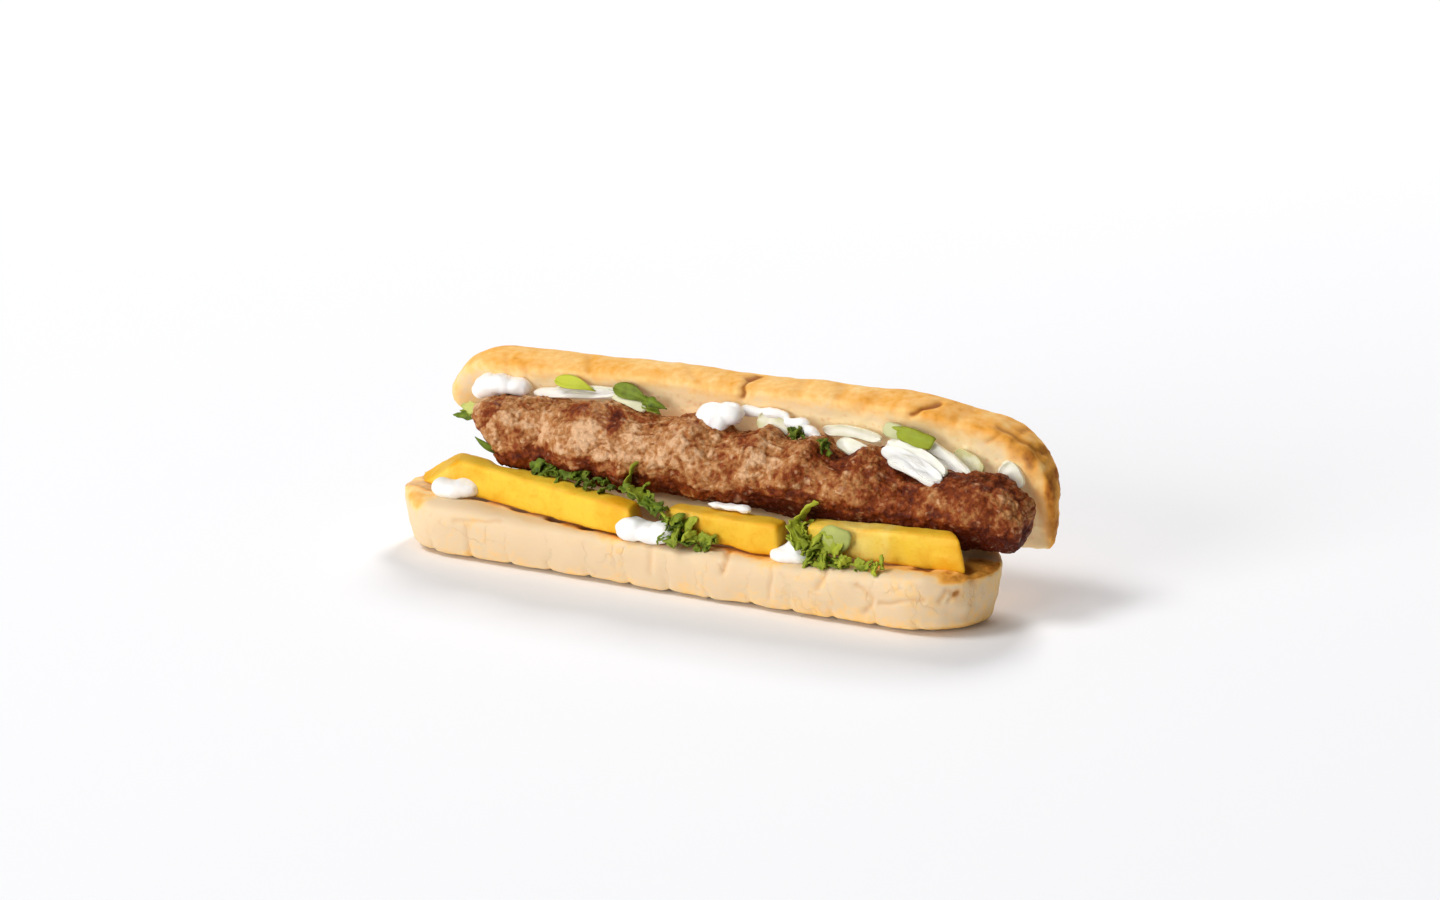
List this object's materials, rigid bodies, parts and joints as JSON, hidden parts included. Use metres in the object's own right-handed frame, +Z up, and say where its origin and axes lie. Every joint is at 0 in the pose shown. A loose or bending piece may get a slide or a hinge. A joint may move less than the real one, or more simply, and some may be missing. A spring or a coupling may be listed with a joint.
{
  "type": "beef kebab sandwich",
  "caption": "Long soft roll, cut along its length and standing open on its spine, filled with a minced-beef kebab, thick chips, white sauce, onion slices and parsley.",
  "frame": {"origin": "centre of the bounding box's underside, on the surface that the roll rests on", "axes": "+X along the roll, to the right as seen from its open front; +Y to the uncut spine at the back; +Z up"},
  "size_m": [0.2438, 0.0674, 0.0718],
  "materials": {
    "bread": "baked crust and soft crumb",
    "beef": "grilled and moist",
    "potato": "fried, thinly oiled",
    "sauce": "wet",
    "onion": "moist",
    "herb": "fresh leaf"
  },
  "bodies": {
    "root": {"bread_roll": "bread", "beef_kebab": "beef", "chip_left": "potato", "chip_middle": "potato", "chip_right": "potato", "sauce_lower_left": "sauce", "sauce_lower_middle": "sauce", "sauce_lower_right": "sauce", "sauce_upper_left": "sauce", "sauce_upper_middle": "sauce", "sauce_streak": "sauce", "sauce_on_chip": "sauce", "onion_strip": "onion", "onion_olive": "onion", "onion_light": "onion", "onion_sliver": "onion", "onion_white": "onion", "onion_wedge": "onion", "onion_back": "onion", "onion_end": "onion", "leaf_far_left": "herb", "leaf_spike": "herb", "leaf_under_kebab": "herb", "leaf_sprig": "herb", "leaf_bunch": "herb", "leaf_on_chip": "herb", "leaf_yellow": "herb", "leaf_upper": "herb", "leaf_dark_a": "herb", "leaf_dark_b": "herb", "leaf_stalk": "herb"}
  },
  "joints": []
}
